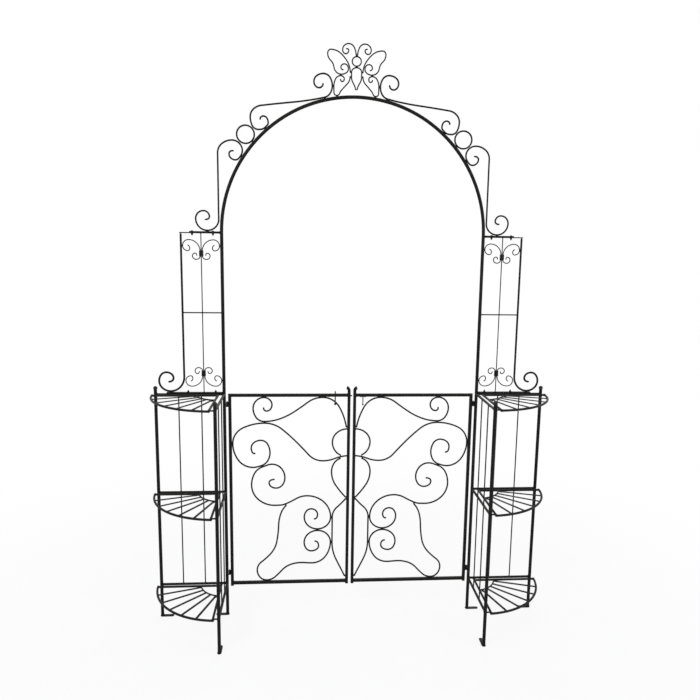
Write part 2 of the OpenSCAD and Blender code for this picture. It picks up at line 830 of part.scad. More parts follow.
// Flat tabs on the posts, each with a pin that stands up through an eye
module hinge_pins() {
    tab_t = 4;
    tab_w = eye_d - 2*tab_lift;
    color(hardware) both() in_plane()
        for (z = [eye_low, eye_high])
            translate([hinge_x, 0, z - tab_lift - tab_t]) {
                cylinder(d = pin_d, h = tab_t + tab_lift + eye_h + 3);
                cylinder(d = tab_w, h = tab_t);
                difference() {
                    translate([0, -tab_w/2, 0]) cube([post_x - hinge_x, tab_w, tab_t]);
                    translate([post_x - hinge_x, 0, -1]) cylinder(d = tube_d + 2*seam, h = tab_t + 2);
                }
            }
}

// ---------------------------------------------------------------- latch
latch_z = gate_top_z - latch_drop;
latch_tip = 2;                                     // end of the open bolt, past the gap's middle
handle_d = latch_d - 1;
handle_up = 19;                                    // part of the handle above the bolt
guide_len = 9;
guide_near = meet_gap/2 + gate_t/2;                // on the back of the meeting stile
handle_x = guide_near + guide_len/2 + run_gap + handle_d/2 + latch_travel;
guide_far = handle_x + 26;
latch_back = guide_far + guide_len/2 + latch_travel + 5;
keeper_len = 16;
keeper_x = latch_tip + latch_travel - keeper_len/4; // middle of the keeper on the other leaf

module along_x(x0, length, d) {
    translate([x0, latch_y, latch_z]) rotate([0, 90, 0]) cylinder(d = d, h = length);
}

// Sliding bolt; its handle stops it against the near guide when it is shut
module latch_bolt() {
    color(hardware) in_plane() {
        along_x(-latch_back, latch_back + latch_tip, latch_d);
        translate([-handle_x, latch_y, latch_z + handle_up - handle_len]) {
            cylinder(d = handle_d, h = handle_len);
            sphere(d = handle_d + 4);
        }
    }
}

module latch_guides() {
    color(steel_light) in_plane()
        for (x = [guide_far, guide_near])
            difference() {
                along_x(-x - guide_len/2, guide_len, keeper_d);
                along_x(-x - guide_len/2 - 1, guide_len + 2, latch_d + 2*pin_fit);
            }
}

// Keeper sleeve with the drop handle of the second leaf
module latch_keeper() {
    drop = 37;
    color(steel_light) in_plane() {
        difference() {
            union() {
                along_x(keeper_x - keeper_len/2, keeper_len, keeper_d);
                translate([keeper_x, latch_y, latch_z - drop]) cylinder(d = 4, h = drop);
            }
            along_x(keeper_x - keeper_len/2 - 1, keeper_len + 2, latch_d + 2*run_gap);
        }
        translate([keeper_x, latch_y, latch_z - drop]) sphere(d = 7);
    }
}

arch_hoop();
crest_head();
crest_body();
crest_antennae();
crest_upper_wings();
crest_lower_wings();
left() upper_bracket_wire();  // left_upper_bracket
upper_bracket_wire();  // right_upper_bracket
bracket_rings();
left() lower_bracket_wire();  // left_lower_bracket
lower_bracket_wire();  // right_lower_bracket
bracket_foot_bars();
left() upper_post();  // left_upper_post
upper_post();  // right_upper_post
left() wing_rod_wire();  // left_wing_rod
wing_rod_wire();  // right_wing_rod
left() wing_bars();  // left_wing_bars
wing_bars();  // right_wing_bars
left() wing_scrolls();  // left_wing_scrolls
wing_scrolls();  // right_wing_scrolls
wing_collars();
post_spigots();
joining_bolts();
joining_nuts();
left() lower_post();  // left_lower_post
lower_post();  // right_lower_post
left() outer_leg();  // left_outer_leg
outer_leg();  // right_outer_leg
left() front_leg();  // left_front_leg
front_leg();  // right_front_leg
left() rear_rails();  // left_rear_rails
rear_rails();  // right_rear_rails
left() side_rails();  // left_side_rails
side_rails();  // right_side_rails
left() spindles();  // left_spindles
spindles();  // right_spindles
left() shelf(top_z);  // left_top_shelf
shelf(top_z);  // right_top_shelf
left() shelf(mid_z);  // left_middle_shelf
shelf(mid_z);  // right_middle_shelf
left() shelf(low_z);  // left_bottom_shelf
shelf(low_z);  // right_bottom_shelf
leg_caps();
foot_tabs();
left() gate_stiles();  // left_gate_stiles
gate_stiles();  // right_gate_stiles
left() gate_rails();  // left_gate_rails
gate_rails();  // right_gate_rails
left() gate_upper_wing();  // left_gate_upper_wing
gate_upper_wing();  // right_gate_upper_wing
left() gate_lower_wing();  // left_gate_lower_wing
gate_lower_wing();  // right_gate_lower_wing
left() gate_body();  // left_gate_body
gate_body();  // right_gate_body
left() hinge_eyes();  // left_hinge_eyes
hinge_eyes();  // right_hinge_eyes
hinge_pins();
latch_bolt();
latch_guides();
latch_keeper();
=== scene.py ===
# %% [markdown]
# # Dressing a garden arch with butterfly gates
#
# The arch is a kit of steel modules: a round top, two wing panels with scrollwork, two corner
# plant stands and a pair of gate leaves filled with bent wire. All of it is powder coated black.
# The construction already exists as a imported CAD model. This lesson loads that model as a fixed
# frame and gives it what the workshop and the coating line leave behind: weld beads, rounded
# tube corners, pressed caps, pointed nuts and a finish that is never one flat black.
#
# Everything is in metres in the frame of the CAD model: X across the path, Y along it, Z up.

# %% Load the frame
import json
import math
import random

import bpy
import numpy as np
from mathutils import Matrix, Vector
from mathutils.bvhtree import BVHTree


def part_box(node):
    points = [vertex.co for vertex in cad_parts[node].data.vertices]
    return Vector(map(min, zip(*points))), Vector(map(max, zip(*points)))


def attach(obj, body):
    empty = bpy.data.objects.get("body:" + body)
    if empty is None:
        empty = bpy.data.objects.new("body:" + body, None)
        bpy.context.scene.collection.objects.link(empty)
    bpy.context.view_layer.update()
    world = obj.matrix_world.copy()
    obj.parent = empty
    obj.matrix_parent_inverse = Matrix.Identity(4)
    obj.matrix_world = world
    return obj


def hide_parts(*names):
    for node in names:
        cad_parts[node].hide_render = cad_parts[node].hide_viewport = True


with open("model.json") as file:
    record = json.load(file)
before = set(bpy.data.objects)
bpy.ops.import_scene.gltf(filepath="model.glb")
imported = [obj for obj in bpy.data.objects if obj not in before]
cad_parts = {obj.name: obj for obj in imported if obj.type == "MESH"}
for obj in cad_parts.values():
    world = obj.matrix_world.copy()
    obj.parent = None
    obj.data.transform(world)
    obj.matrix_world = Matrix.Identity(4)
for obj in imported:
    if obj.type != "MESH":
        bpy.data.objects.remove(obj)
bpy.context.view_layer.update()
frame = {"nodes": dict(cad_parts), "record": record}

MM = 0.001
nodes = frame["nodes"]
body_of_node = {
    node: body
    for body, members in frame["record"]["behaviour"]["bodies"].items()
    for node in members
}
dice = random.Random(7)

# %% [markdown]
# ## Small tools of the bench
#
# An operator acts on whatever is selected, and the loaded frame comes in selected. So each step
# starts by clearing the selection. A finished piece has its place in its mesh and its object at
# the origin, because patterns on object coordinates would otherwise slide about.

# %% Selecting, shaping and finishing
def clear_selection():
    if bpy.context.mode != "OBJECT":
        bpy.ops.object.mode_set(mode="OBJECT")
    for thing in list(bpy.context.selected_objects):
        thing.select_set(False)


def pick(*things):
    clear_selection()
    for thing in things:
        thing.select_set(True)
    bpy.context.view_layer.objects.active = things[0]


def settle(thing):
    """Puts a piece's place, turn and scale into its mesh."""
    pick(thing)
    bpy.ops.object.transform_apply(location=True, rotation=True, scale=True)
    return thing


def select_where(thing, kind, test):
    """In edit mode, selects the faces, edges or vertices of a mesh for which test says yes."""
    bpy.ops.object.mode_set(mode="EDIT")
    bpy.ops.mesh.select_mode(type={"faces": "FACE", "edges": "EDGE", "vertices": "VERT"}[kind])
    bpy.ops.mesh.select_all(action="DESELECT")
    bpy.ops.object.mode_set(mode="OBJECT")
    mesh = thing.data
    for part in {"faces": mesh.polygons, "edges": mesh.edges, "vertices": mesh.vertices}[kind]:
        part.select = bool(test(part))
    bpy.ops.object.mode_set(mode="EDIT")


def outward(thing):
    """Merges doubled corners and turns every face outwards."""
    pick(thing)
    bpy.ops.object.mode_set(mode="EDIT")
    bpy.ops.mesh.select_all(action="SELECT")
    bpy.ops.mesh.remove_doubles(threshold=0.01 * MM)
    bpy.ops.mesh.normals_make_consistent(inside=False)
    bpy.ops.object.mode_set(mode="OBJECT")
    return thing


def apply_modifier(thing, kind, **settings):
    pick(thing)
    modifier = thing.modifiers.new(kind.lower(), kind)
    for name, value in settings.items():
        setattr(modifier, name, value)
    bpy.ops.object.modifier_apply(modifier=modifier.name)
    return thing


def smooth_by_angle(thing, degrees=35):
    pick(thing)
    bpy.ops.object.shade_smooth_by_angle(angle=math.radians(degrees))
    return thing


def join(name, pieces):
    """Joins pieces into one, under a plain name."""
    pick(*pieces)
    if len(pieces) > 1:
        bpy.ops.object.join()
    whole = bpy.context.view_layer.objects.active
    whole.name = name
    return whole


def copies_at(name, template, places):
    """One piece made of copies of a template, each set at its place by a 4 x 4 matrix."""
    made = []
    for place in places:
        twin = template.copy()
        twin.data = template.data.copy()
        bpy.context.scene.collection.objects.link(twin)
        twin.data.transform(place)
        made.append(twin)
    return join(name, made)


def mirrored(name, thing):
    """The piece of the other side, mirrored in the plane X = 0."""
    twin = thing.copy()
    twin.data = thing.data.copy()
    bpy.context.scene.collection.objects.link(twin)
    twin.name = name
    twin.data.transform(Matrix.Scale(-1, 4, Vector((1, 0, 0))))
    return outward(twin)


def hand_over(piece, body, slot, material, *replaced):
    """Gives a finished piece its body and its material, and hides the CAD nodes it stands for."""
    piece.data.materials.clear()
    piece.data.materials.append(material)
    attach(piece, body)
    if replaced:
        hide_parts(*replaced)
    return piece


print("bench tools ready")

# %% [markdown]
# ## Building a finish from nodes
#
# Every finish here is worked out from the place of a point on the object, with noise at the
# scale of the real thing. A helper adds a node and wires it up, so that a finish reads as a
# short recipe: what varies the colour, what varies the roughness, what makes the relief.

# %% Recipe helpers
class Finish:
    """A material with one Principled shader and the object coordinates at hand."""

    def __init__(self, name):
        self.material = bpy.data.materials.new(name)
        self.material.use_nodes = True
        self.tree = self.material.node_tree
        self.shader = self.tree.nodes["Principled BSDF"]
        self.place = self.add("ShaderNodeTexCoord").outputs["Object"]

    def add(self, kind, inputs=None, **settings):
        node = self.tree.nodes.new(kind)
        for name, value in settings.items():
            setattr(node, name, value)
        for name, value in (inputs or {}).items():
            self.put(node.inputs[name], value)
        return node

    def put(self, socket, value):
        if isinstance(value, bpy.types.NodeSocket):
            self.tree.links.new(value, socket)
        else:
            socket.default_value = value

    def noise(self, scale, detail=3.0, stretch=None):
        """Noise with a given number of features per metre, stretched along an axis if asked."""
        where = self.place
        if stretch:
            mapping = self.add("ShaderNodeMapping", {"Vector": where, "Scale": stretch})
            where = mapping.outputs["Vector"]
        return self.add(
            "ShaderNodeTexNoise", {"Vector": where, "Scale": scale, "Detail": detail}
        ).outputs["Fac"]

    def spread(self, value, low, high, to_low=0.0, to_high=1.0):
        """Stretches a range of a value over another range, with soft ends."""
        ends = {"From Min": low, "From Max": high, "To Min": to_low, "To Max": to_high}
        return self.add(
            "ShaderNodeMapRange", {"Value": value, **ends}, interpolation_type="SMOOTHSTEP"
        ).outputs["Result"]

    def times(self, first, second):
        return self.add("ShaderNodeMath", {0: first, 1: second}, operation="MULTIPLY").outputs[0]

    def blend(self, share, first, second):
        """A colour that runs from first to second."""
        mix = self.add("ShaderNodeMix", data_type="RGBA")
        self.put(mix.inputs["Factor"], share)
        self.put(mix.inputs["A"], first)
        self.put(mix.inputs["B"], second)
        return mix.outputs["Result"]

    def facing_up(self):
        """1 on surfaces that look at the sky, 0 on walls and undersides."""
        normal = self.add("ShaderNodeNewGeometry").outputs["Normal"]
        height = self.add("ShaderNodeSeparateXYZ", {"Vector": normal}).outputs["Z"]
        return self.spread(height, 0.35, 0.95)

    def relief(self, height, depth, below=None):
        """Bump of a real depth in metres, on top of another relief if there is one."""
        bump = self.add("ShaderNodeBump", {"Height": height, "Distance": depth, "Strength": 1.0})
        if below is not None:
            self.put(bump.inputs["Normal"], below)
        return bump.outputs["Normal"]

    def set(self, **values):
        """Sets the shader's sockets, with underscores for the spaces in their names."""
        for name, value in values.items():
            self.put(self.shader.inputs[name.replace("_", " ")], value)


def grey(value, warmth=0.0):
    """A grey, warmer or cooler by a share."""
    return (value * (1 + warmth), value, value * (1 - warmth), 1)


print("recipe helpers ready")

# %% [markdown]
# ## Black powder coat
#
# Powder is sprayed dry on the steel and baked, and it flows into a skin with a faint orange peel:
# bumps about 2 mm wide and a hundredth deep. The skin is satin, so the light on a tube is a
# soft streak. Outdoors a little pale dust stays on what faces up, and here and there handling has
# polished the skin or dulled it. The relief is bump, because it is far finer than any mesh.

# %% The powder coat
def powder_coat(name, black=0.006, sheen_patch=26):
    coat = Finish(name)
    patches = coat.spread(coat.noise(sheen_patch, 4), 0.35, 0.68)
    clouds = coat.spread(coat.noise(7, 5), 0.30, 0.75)
    skin = coat.blend(clouds, grey(black, 0.05), grey(black * 1.7, 0.08))
    dust = coat.times(coat.facing_up(), coat.spread(coat.noise(90, 5), 0.42, 0.80, 0.0, 0.22))
    colour = coat.blend(dust, skin, grey(0.060, 0.12))
    peel = coat.relief(coat.noise(520, 2), 0.012 * MM)
    waves = coat.relief(coat.noise(95, 2), 0.03 * MM, peel)
    coat.set(
        Base_Color=colour,
        Roughness=coat.spread(patches, 0, 1, 0.34, 0.48),
        Normal=waves,
        IOR=1.5,
        Specular_IOR_Level=0.10,
    )
    return coat.material


tube_coat = powder_coat("black_powder_coat")
wire_coat = powder_coat("black_powder_coat_on_wire", black=0.005, sheen_patch=60)
print("made", tube_coat.name, "and", wire_coat.name)

# %% [markdown]
# ## Coat over a weld
#
# A weld bead is rippled steel under the same powder. The powder is thinner on its crests and
# gathers in its hollows, and a few crests have let a trace of brown through. The brown stays
# small and dull: this is a new arch, not a wreck.

# %% The coat on the welds
def weld_coat(name):
    coat = Finish(name)
    skin = coat.blend(coat.spread(coat.noise(60, 4), 0.3, 0.7), grey(0.006, 0.05), grey(0.014, 0.1))
    specks = coat.spread(coat.noise(420, 4), 0.66, 0.74, 0.0, 0.55)
    colour = coat.blend(specks, skin, (0.060, 0.030, 0.016, 1))
    coat.set(
        Base_Color=colour,
        Roughness=coat.spread(coat.noise(300, 3), 0.3, 0.7, 0.42, 0.62),
        Normal=coat.relief(coat.noise(900, 3), 0.12 * MM),
        IOR=1.5,
        Specular_IOR_Level=0.12,
    )
    return coat.material


bead_coat = weld_coat("coat_over_weld")
print("made", bead_coat.name)

# %% [markdown]
# ## Hardware and plastic
#
# Bolts, nuts and pins are zinc plated and dyed black: a metal with a dark skin that wears
# through to grey where it rubs. The latch bolt slides along X, so its scratches are noise that is
# stretched along X. The ball caps on the legs are moulded plastic with a fine grain.

# %% Black plated steel
def plated_steel(name, stretch=(1, 1, 1), wear=0.30):
    plate = Finish(name)
    cloud = plate.spread(plate.noise(140, 4), 0.3, 0.75)
    rubbed = plate.spread(plate.noise(260, 5, stretch), 0.56, 0.74, 0.0, wear)
    skin = plate.blend(cloud, grey(0.018, 0.03), grey(0.034, 0.05))
    plate.set(
        Base_Color=plate.blend(rubbed, skin, grey(0.30, 0.02)),
        Metallic=0.85,
        Roughness=plate.spread(plate.noise(700, 3, stretch), 0.3, 0.7, 0.30, 0.48),
        Normal=plate.relief(plate.noise(1500, 3, stretch), 0.02 * MM),
    )
    return plate.material


def raw_steel(name):
    steel = Finish(name)
    mill_scale = steel.spread(steel.noise(120, 5, (1, 1, 0.1)), 0.4, 0.7)
    steel.set(
        Base_Color=steel.blend(mill_scale, grey(0.36, 0.03), grey(0.20, 0.06)),
        Metallic=1.0,
        Roughness=steel.spread(steel.noise(500, 3, (1, 1, 0.05)), 0.3, 0.7, 0.28, 0.46),
    )
    return steel.material


def cap_plastic(name):
    plastic = Finish(name)
    flow = plastic.spread(plastic.noise(160, 3), 0.3, 0.7)
    plastic.set(
        Base_Color=plastic.blend(flow, grey(0.011), grey(0.018, 0.03)),
        Roughness=plastic.spread(plastic.noise(900, 2), 0.3, 0.7, 0.50, 0.62),
        Normal=plastic.relief(plastic.noise(2600, 2), 0.03 * MM),
        IOR=1.49,
        Specular_IOR_Level=0.22,
    )
    return plastic.material


plated = plated_steel("black_plated_steel")
slid = plated_steel("black_plated_steel_rubbed_along_x", stretch=(0.04, 1, 1), wear=0.55)
spigot_steel = raw_steel("raw_spigot_steel")
plastic = cap_plastic("moulded_black_plastic")
print("made", plated.name, slid.name, spigot_steel.name, plastic.name)

# %% [markdown]
# ## Paint the frame
#
# The CAD nodes keep their shape and only get their finish: the record says which slot each node
# has. Wire is thinner than tube, so its sheen changes over shorter lengths.

# %% Finish for every node of the frame
WIRES = (
    "crest", "bracket", "wing_rod", "wing_scrolls", "gate_upper_wing", "gate_lower_wing", "gate_body"
)
slot_of = {row["node"]: row["material_slot"] for row in frame["record"]["subparts"]}
finish_of_slot = {
    "black_coat": tube_coat,
    "black_hardware": plated,
    "plain_steel": spigot_steel,
    "cap_plastic": plastic,
}
for name, node in nodes.items():
    wiry = slot_of[name] == "black_coat" and any(word in name for word in WIRES)
    node.data.materials.clear()
    node.data.materials.append(wire_coat if wiry else finish_of_slot[slot_of[name]])
nodes["latch_bolt"].data.materials[0] = slid
print("painted", len(nodes), "nodes")

# %% [markdown]
# ## What is welded to what
#
# A weld bead sits where two pieces of one module meet. Rather than typing more than three
# hundred places, the lesson measures them on the frame: every node is split into its loose
# solids, and a search tree of all faces tells which of them come within half a millimetre of
# each other. Modules are bolted or plugged together, so no bead is laid between two modules.

STAND_WORDS = (
    "lower_post", "outer_leg", "front_leg", "rear_rails", "side_rails", "spindles", "shelf",
    "foot_tabs", "hinge_pins",
)
WING_WORDS = ("upper_post", "wing_rod", "wing_bars", "wing_scrolls")
ARCH_WORDS = ("arch_hoop", "crest_", "bracket")
LEAF_WORDS = ("_gate_", "hinge_eyes", "latch_guides", "latch_keeper")


def module_of(name):
    """The welded module that a node belongs to, or None where nothing is welded."""
    if any(word in name for word in LEAF_WORDS):
        return body_of_node[name]
    for module, words in (("stand", STAND_WORDS), ("wing", WING_WORDS), ("arch", ARCH_WORDS)):
        if any(word in name for word in words):
            return module
    return None


welded_nodes = [name for name in nodes if module_of(name)]
print(len(welded_nodes), "of", len(nodes), "nodes belong to a welded module")

# %% [markdown]
# A loaded node is a heap of loose triangles, so corners in one place are first given one number.
# Then every triangle passes the lowest number of its three corners around until nothing changes:
# what shares a number is one solid.

# %% Split a node into its solids
SAME_PLACE = 0.002  # millimetres


def solids_of(node):
    """The loose solids of a node, each as (corner places, triangles)."""
    mesh = node.data
    mesh.calc_loop_triangles()
    places = np.empty(len(mesh.vertices) * 3)
    mesh.vertices.foreach_get("co", places)
    places = places.reshape(-1, 3)
    corners = np.empty(len(mesh.loop_triangles) * 3, dtype=np.int64)
    mesh.loop_triangles.foreach_get("vertices", corners)
    places, same = np.unique(np.round(places / (SAME_PLACE * MM)), axis=0, return_inverse=True)
    triangles = same.reshape(-1)[corners].reshape(-1, 3)
    label = np.arange(len(places))
    while True:
        lowest = label[triangles].min(axis=1)
        spread = label.copy()
        np.minimum.at(spread, triangles.reshape(-1), np.repeat(lowest, 3))
        spread = spread[spread]
        if (spread == label).all():
            break
        label = spread
    solids = []
    for number in np.unique(label[triangles[:, 0]]):
        mine = triangles[label[triangles[:, 0]] == number]
        used, local = np.unique(mine, return_inverse=True)
        solids.append((places[used] * SAME_PLACE * MM, local.reshape(-1, 3)))
    return solids


def solid_boxes(name):
    """The lowest and highest corners of a node's solids, from left to right and from below."""
    boxes = [(Vector(p.min(axis=0)), Vector(p.max(axis=0))) for p, _ in solids_of(nodes[name])]
    return sorted(boxes, key=lambda box: (round(box[0].x, 3), box[0].z))


THICKEST_BAR = 20 * MM


class Solid:
    """One loose solid of the frame, with its long axis, its ends and what kind of bar it is."""

    def __init__(self, node, points, triangles):
        self.node, self.points, self.triangles = node, points, triangles
        self.module = module_of(node)
        middle = (points.max(axis=0) + points.min(axis=0)) / 2
        self.middle = middle
        spans = np.linalg.svd(points - points.mean(axis=0), full_matrices=False)[2]
        along = (points - middle) @ spans.T
        size = along.max(axis=0) - along.min(axis=0)
        self.axis, self.size = spans[0], size
        offset = (along.max(axis=0) + along.min(axis=0)) / 2 @ spans
        centre = middle + offset
        self.ends = (centre - spans[0] * size[0] / 2, centre + spans[0] * size[0] / 2)
        reach = np.linalg.norm(((points - centre) @ spans.T)[:, 1:], axis=1).max()
        is_straight = size[0] > 1.3 * size[1] and size[1] < THICKEST_BAR
        self.radius = float(size[1]) / 2
        is_round = abs(size[1] - size[2]) < 0.3 * MM and abs(reach - self.radius) < 0.2 * MM
        is_square_tube = "gate_rails" in node or "gate_stiles" in node
        self.is_round_bar = is_straight and is_round and not is_square_tube
        self.is_flat_bar = is_straight and size[1] > 2.5 * size[2] and size[0] > 3 * size[1]
        self.sides = spans[1:]


solids = [Solid(name, *part) for name in welded_nodes for part in solids_of(nodes[name])]
round_bars = [solid for solid in solids if solid.is_round_bar]
flat_bars = [solid for solid in solids if solid.is_flat_bar]
print(len(solids), "solids:", len(round_bars), "straight round bars,", len(flat_bars), "flat bars")


class Module:
    """The solids of one welded module, with a search tree that knows whose face it hits."""

    def __init__(self, name):
        self.solids = [solid for solid in solids if solid.module == name]
        points = np.concatenate([solid.points for solid in self.solids])
        starts = np.cumsum([0] + [len(solid.points) for solid in self.solids])
        faces = [solid.triangles + start for solid, start in zip(self.solids, starts)]
        self.owner = np.repeat(np.arange(len(faces)), [len(part) for part in faces])
        self.tree = BVHTree.FromPolygons(points.tolist(), np.concatenate(faces).tolist())


modules = {name: Module(name) for name in sorted({solid.module for solid in solids})}
print("modules:", {name: len(module.solids) for name, module in modules.items()})

# %% [markdown]
# ## The bead round the end of a bar
#
# Where a rail meets a post the welder runs once round the joint, and the bead follows the saddle
# between the two tubes. It could be modelled as a bent tube for each pair of diameters. Here it
# starts as a torus round the end of the bar, and each of its points is then pushed along the bar
# until it meets the other piece, which a ray finds. That fits any saddle. The run is rippled like
# a row of coins, one ripple to every 1.3 mm or so.

# %% Lay a ring bead
RIPPLE = 1.3 * MM
THINNEST_BEAD, THICKEST_BEAD = 0.65 * MM, 1.4 * MM
RAY_START = 3 * MM
END_REACH = 2 * MM


def ring_bead(bar, end, tree):
    """A weld bead round one end of a round bar, pressed against the piece that it meets."""
    tip = Vector(bar.ends[end])
    out = Vector(bar.axis if end == 1 else -bar.axis)
    side = Vector(bar.sides[0])
    across = out.cross(side)
    thick = min(max(0.24 * bar.radius, THINNEST_BEAD), THICKEST_BEAD)
    ring = bar.radius + 0.25 * thick
    ripples = max(8, round(math.tau * ring / RIPPLE))
    clear_selection()
    bpy.ops.mesh.primitive_torus_add(
        major_segments=3 * ripples, minor_segments=8, major_radius=ring, minor_radius=thick
    )
    bead = bpy.context.active_object
    start = dice.random() * math.tau
    wander = dice.random() * math.tau
    drop = {}
    for vertex in bead.data.vertices:
        turn = round(math.atan2(vertex.co.y, vertex.co.x), 4)
        if turn not in drop:
            outward_from_bar = math.cos(turn) * side + math.sin(turn) * across
            origin = tip + (ring + 0.1 * MM) * outward_from_bar - RAY_START * out
            depth = tree.ray_cast(origin, out, RAY_START + bar.radius)[3]
            drop[turn] = 0.7 * bar.radius if depth is None else depth - RAY_START
        swell = 1 + 0.13 * math.cos(ripples * turn + start) + 0.16 * math.sin(2 * turn + wander)
        radial = math.hypot(vertex.co.x, vertex.co.y)
        radial = ring + (radial - ring) * swell
        height = vertex.co.z * swell + drop[turn] - 0.35 * thick
        vertex.co = tip + radial * (math.cos(turn) * side + math.sin(turn) * across) + height * out
    return bead


def meets(bar, end, tree):
    """Whether the end of a bar butts against another piece of its module."""
    out = Vector(bar.axis if end == 1 else -bar.axis)
    return tree.ray_cast(Vector(bar.ends[end]) + 0.05 * MM * out, out, 1.0 * MM)[0] is not None


beads = []
welded_ends = []
for bar in round_bars:
    tree = modules[bar.module].tree
    for end in (0, 1):
        if meets(bar, end, tree):
            beads.append((bar, ring_bead(bar, end, tree)))
            welded_ends.append((Vector(bar.ends[end]), bar.radius + END_REACH))
print(len(beads), "ring beads")

# %% [markdown]
# ## Fillets at flat bars and nuggets between wires
#
# A flat bar gets one short run along each of its wide faces. Two wires that touch get a nugget:
# the welder stops, fills the groove between the round sides and moves on. Both are the same
# small lump, an ico sphere stretched along the seam and made uneven by noise. It is modelled
# once, in three variants, and copied, each copy with its own mesh.

# %% Three lumps of weld metal
LUMP_SPACING = 3.1
FILLET_WIDTH, FILLET_HEIGHT = 1.3 * MM, 1.1 * MM


def weld_lump(seed):
    """A ball made uneven by noise, and by another part of the noise for each seed."""
    clear_selection()
    bpy.ops.mesh.primitive_ico_sphere_add(subdivisions=3, radius=1)
    lump = bpy.context.active_object
    clouds = bpy.data.textures.new("weld_ripple_%d" % seed, "CLOUDS")
    clouds.noise_scale = 0.55
    away = Matrix.Translation((LUMP_SPACING * seed, 0, 0))
    lump.data.transform(away)
    apply_modifier(
        lump, "DISPLACE", texture=clouds, texture_coords="LOCAL", strength=0.5, mid_level=0.5
    )
    lump.data.transform(away.inverted())
    bpy.ops.object.shade_smooth()
    return lump


lumps = [weld_lump(seed) for seed in (1, 2, 3)]


def lay_lump(place, along, across, length, width, height):
    """A lump at a place, stretched along the seam; the three sizes are from middle to skin."""
    along = along.normalized()
    across = (across - across.dot(along) * along).normalized()
    third = along.cross(across)
    grow = [size * dice.uniform(0.88, 1.12) for size in (length, width, height)]
    turn = Matrix((along * grow[0], across * grow[1], third * grow[2])).transposed().to_4x4()
    turn.translation = place
    template = dice.choice(lumps)
    lump = template.copy()
    lump.data = template.data.copy()
    bpy.context.scene.collection.objects.link(lump)
    lump.data.transform(turn)
    return lump


for bar in flat_bars:
    tree = modules[bar.module].tree
    for end in (0, 1):
        if meets(bar, end, tree):
            out = Vector(bar.axis if end == 1 else -bar.axis)
            wide, thin = Vector(bar.sides[0]), Vector(bar.sides[1])
            half_wide, half_thin = float(bar.size[1]) / 2, float(bar.size[2]) / 2
            for face in (-1, 1):
                skin = face * (half_thin + 0.1 * MM) * thin
                place = Vector(bar.ends[end]) + skin - 0.2 * MM * out
                lump = lay_lump(place, wide, out, 0.9 * half_wide, FILLET_WIDTH, FILLET_HEIGHT)
                beads.append((bar, lump))
            welded_ends.append((Vector(bar.ends[end]), half_wide + END_REACH))
print("three lumps;", len(beads), "beads and fillets so far")

# %% [markdown]
# Now the wires. Each corner of a solid asks the search tree for faces of other solids within half
# a millimetre. The answers that lie together are one contact: its long direction is the seam, and
# the direction from solid to solid is across it. Beside a hinge the nuggets are small, because
# the eyes turn close to the post.

# %% Find the contacts and fill them
NEAR = 0.45 * MM
SEAM_REACH = 14 * MM
COLLAR_REACH = 13 * MM
THICKEST_WIRE = 8 * MM
LONGEST_HALF_RUN = 6 * MM
HINGE_NUGGET = (4 * MM, 0.7 * MM, 2.2 * MM)
NO_WELD = ({"arch_hoop", "upper_post"}, {"upper_post", "lower_post"}, {"gate_stiles", "gate_rails"})
collars = [Vector(part[0].mean(axis=0)) for part in solids_of(nodes["wing_collars"])]


def plain_name(name):
    return name.replace("left_", "").replace("right_", "")


def contacts_of(module):
    """Clusters of near corners between two solids: (solid, other, places, normals)."""
    found = {}
    for number, solid in enumerate(module.solids):
        for point in map(Vector, solid.points.tolist()):
            for hit, normal, face, gap in module.tree.find_nearest_range(point, NEAR):
                other = int(module.owner[face])
                if other != number:
                    in_order = number < other
                    pair = (number, other) if in_order else (other, number)
                    spots = (point, hit) if in_order else (hit, point)
                    found.setdefault(pair, []).append(spots)
                    break
    clusters = []
    for (number, other), pairs in sorted(found.items()):
        while pairs:
            first = pairs[0][0]
            near = [pair for pair in pairs if (pair[0] - first).length < SEAM_REACH]
            pairs = [pair for pair in pairs if (pair[0] - first).length >= SEAM_REACH]
            clusters.append((module.solids[number], module.solids[other], near))
    return clusters


def is_nugget(solid, other, place):
    pair = {plain_name(solid.node), plain_name(other.node)}
    if pair in NO_WELD or any((place - end).length < reach for end, reach in welded_ends):
        return False
    return not any((place - collar).length < COLLAR_REACH for collar in collars)


nugget_count = 0
for module in modules.values():
    for solid, other, near in contacts_of(module):
        places = np.array([(start + hit) / 2 for start, hit in near])
        middle = Vector(places.mean(axis=0))
        if not is_nugget(solid, other, middle):
            continue
        to_other = sum((hit - start for start, hit in near), Vector())
        to_other = to_other if to_other.length > 1e-7 else Vector(other.middle - solid.middle)
        seam = Vector((0, 0, 1))
        if len(near) > 2:
            seam = Vector(np.linalg.svd(places - places.mean(axis=0), full_matrices=False)[2][0])
        seam = seam - seam.project(to_other)
        seam = seam if seam.length > 0.2 else Vector((0, 1, 0)).cross(to_other)
        run = float(np.ptp(places @ np.array(seam.normalized())))
        round_size = min(float(solid.size[2]), float(other.size[2]), THICKEST_WIRE) / 2
        half_run = min(max(run / 2, 1.5 * round_size), LONGEST_HALF_RUN)
        lump_size = [half_run, 0.52 * round_size, 0.86 * round_size]
        if "hinge" in solid.node + other.node:
            lump_size = [min(half_run, HINGE_NUGGET[0]), *HINGE_NUGGET[1:]]
        beads.append((solid, lay_lump(middle, seam, to_other, *lump_size)))
        nugget_count += 1
print(nugget_count, "nuggets")

# %% [markdown]
# An open leaf lies close along the post and the side rails. Where it does, the welder dresses the
# beads flush. Corners of beads in that space are moved out of it by the shorter way, sideways
# past the leaf or back behind the hinge tab. The beads that hold an eye to its leaf end level
# with the eye, or they would cut into the tab that the eye turns on.

